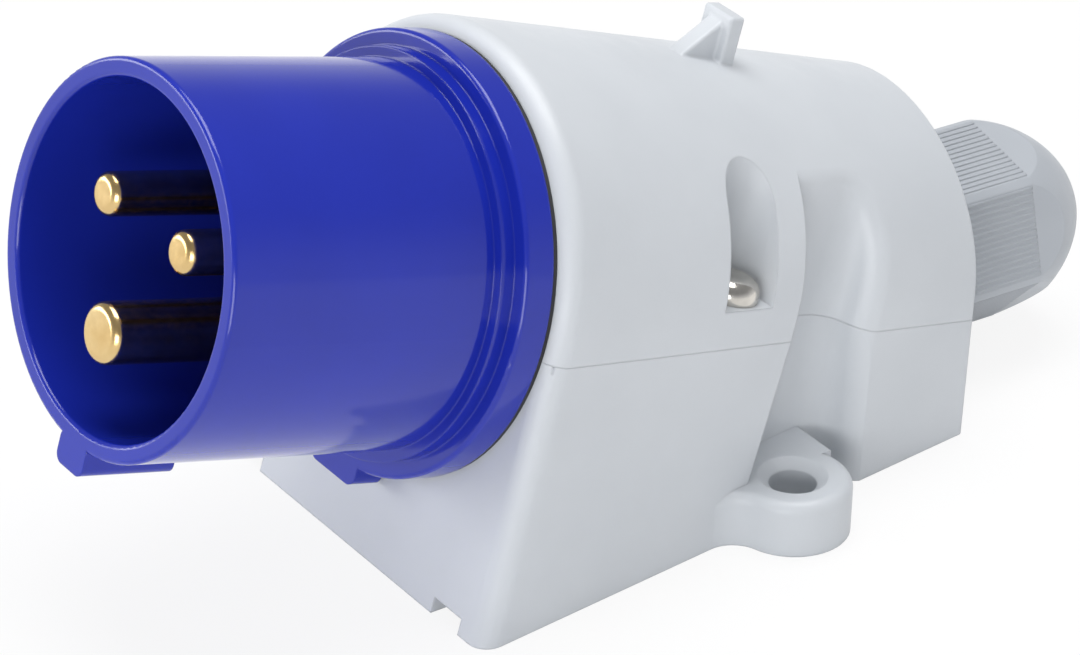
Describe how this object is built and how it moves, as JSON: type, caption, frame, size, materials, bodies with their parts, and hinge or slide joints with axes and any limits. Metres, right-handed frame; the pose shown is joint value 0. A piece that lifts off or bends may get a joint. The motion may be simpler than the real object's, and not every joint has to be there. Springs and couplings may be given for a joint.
{
  "type": "waterproof wall-mounted industrial plug",
  "caption": "Wall-mounted appliance plug: round blue shroud around brass pins on a slanted grey two-part housing with fixing lugs and a cable gland at the rear.",
  "frame": {"origin": "midway between the two fixing-lug holes, on the mounting face", "axes": "+Z away from the mounting surface, -Y towards the plug, +Y towards the cable gland, +X to the right seen from the plug side"},
  "size_m": [0.0644, 0.1394, 0.0669],
  "materials": {
    "housing_plastic": "satin moulded light grey",
    "blue_plastic": "glossy moulded blue",
    "carrier_plastic": "moulded black",
    "pin_brass": "polished brass",
    "screw_nickel": "bright nickel plate",
    "terminal_steel": "zinc plated",
    "seal_rubber": "black rubber",
    "gland_plastic": "satin moulded grey"
  },
  "bodies": {
    "root": {"base_housing": "housing_plastic", "cover_housing": "housing_plastic", "cover_gasket": "seal_rubber", "cover_screws": "screw_nickel", "plug_shroud": "blue_plastic", "flange_gasket": "seal_rubber", "pin_carrier": "carrier_plastic", "carrier_screws": "terminal_steel", "line_pin": "pin_brass", "neutral_pin": "pin_brass", "earth_pin": "pin_brass", "line_terminal_screw": "terminal_steel", "neutral_terminal_screw": "terminal_steel", "earth_terminal_screw": "terminal_steel", "gland_body": "gland_plastic", "gland_washer": "seal_rubber", "gland_locknut": "gland_plastic", "gland_seal": "seal_rubber", "gland_nut": "gland_plastic"}
  },
  "joints": []
}
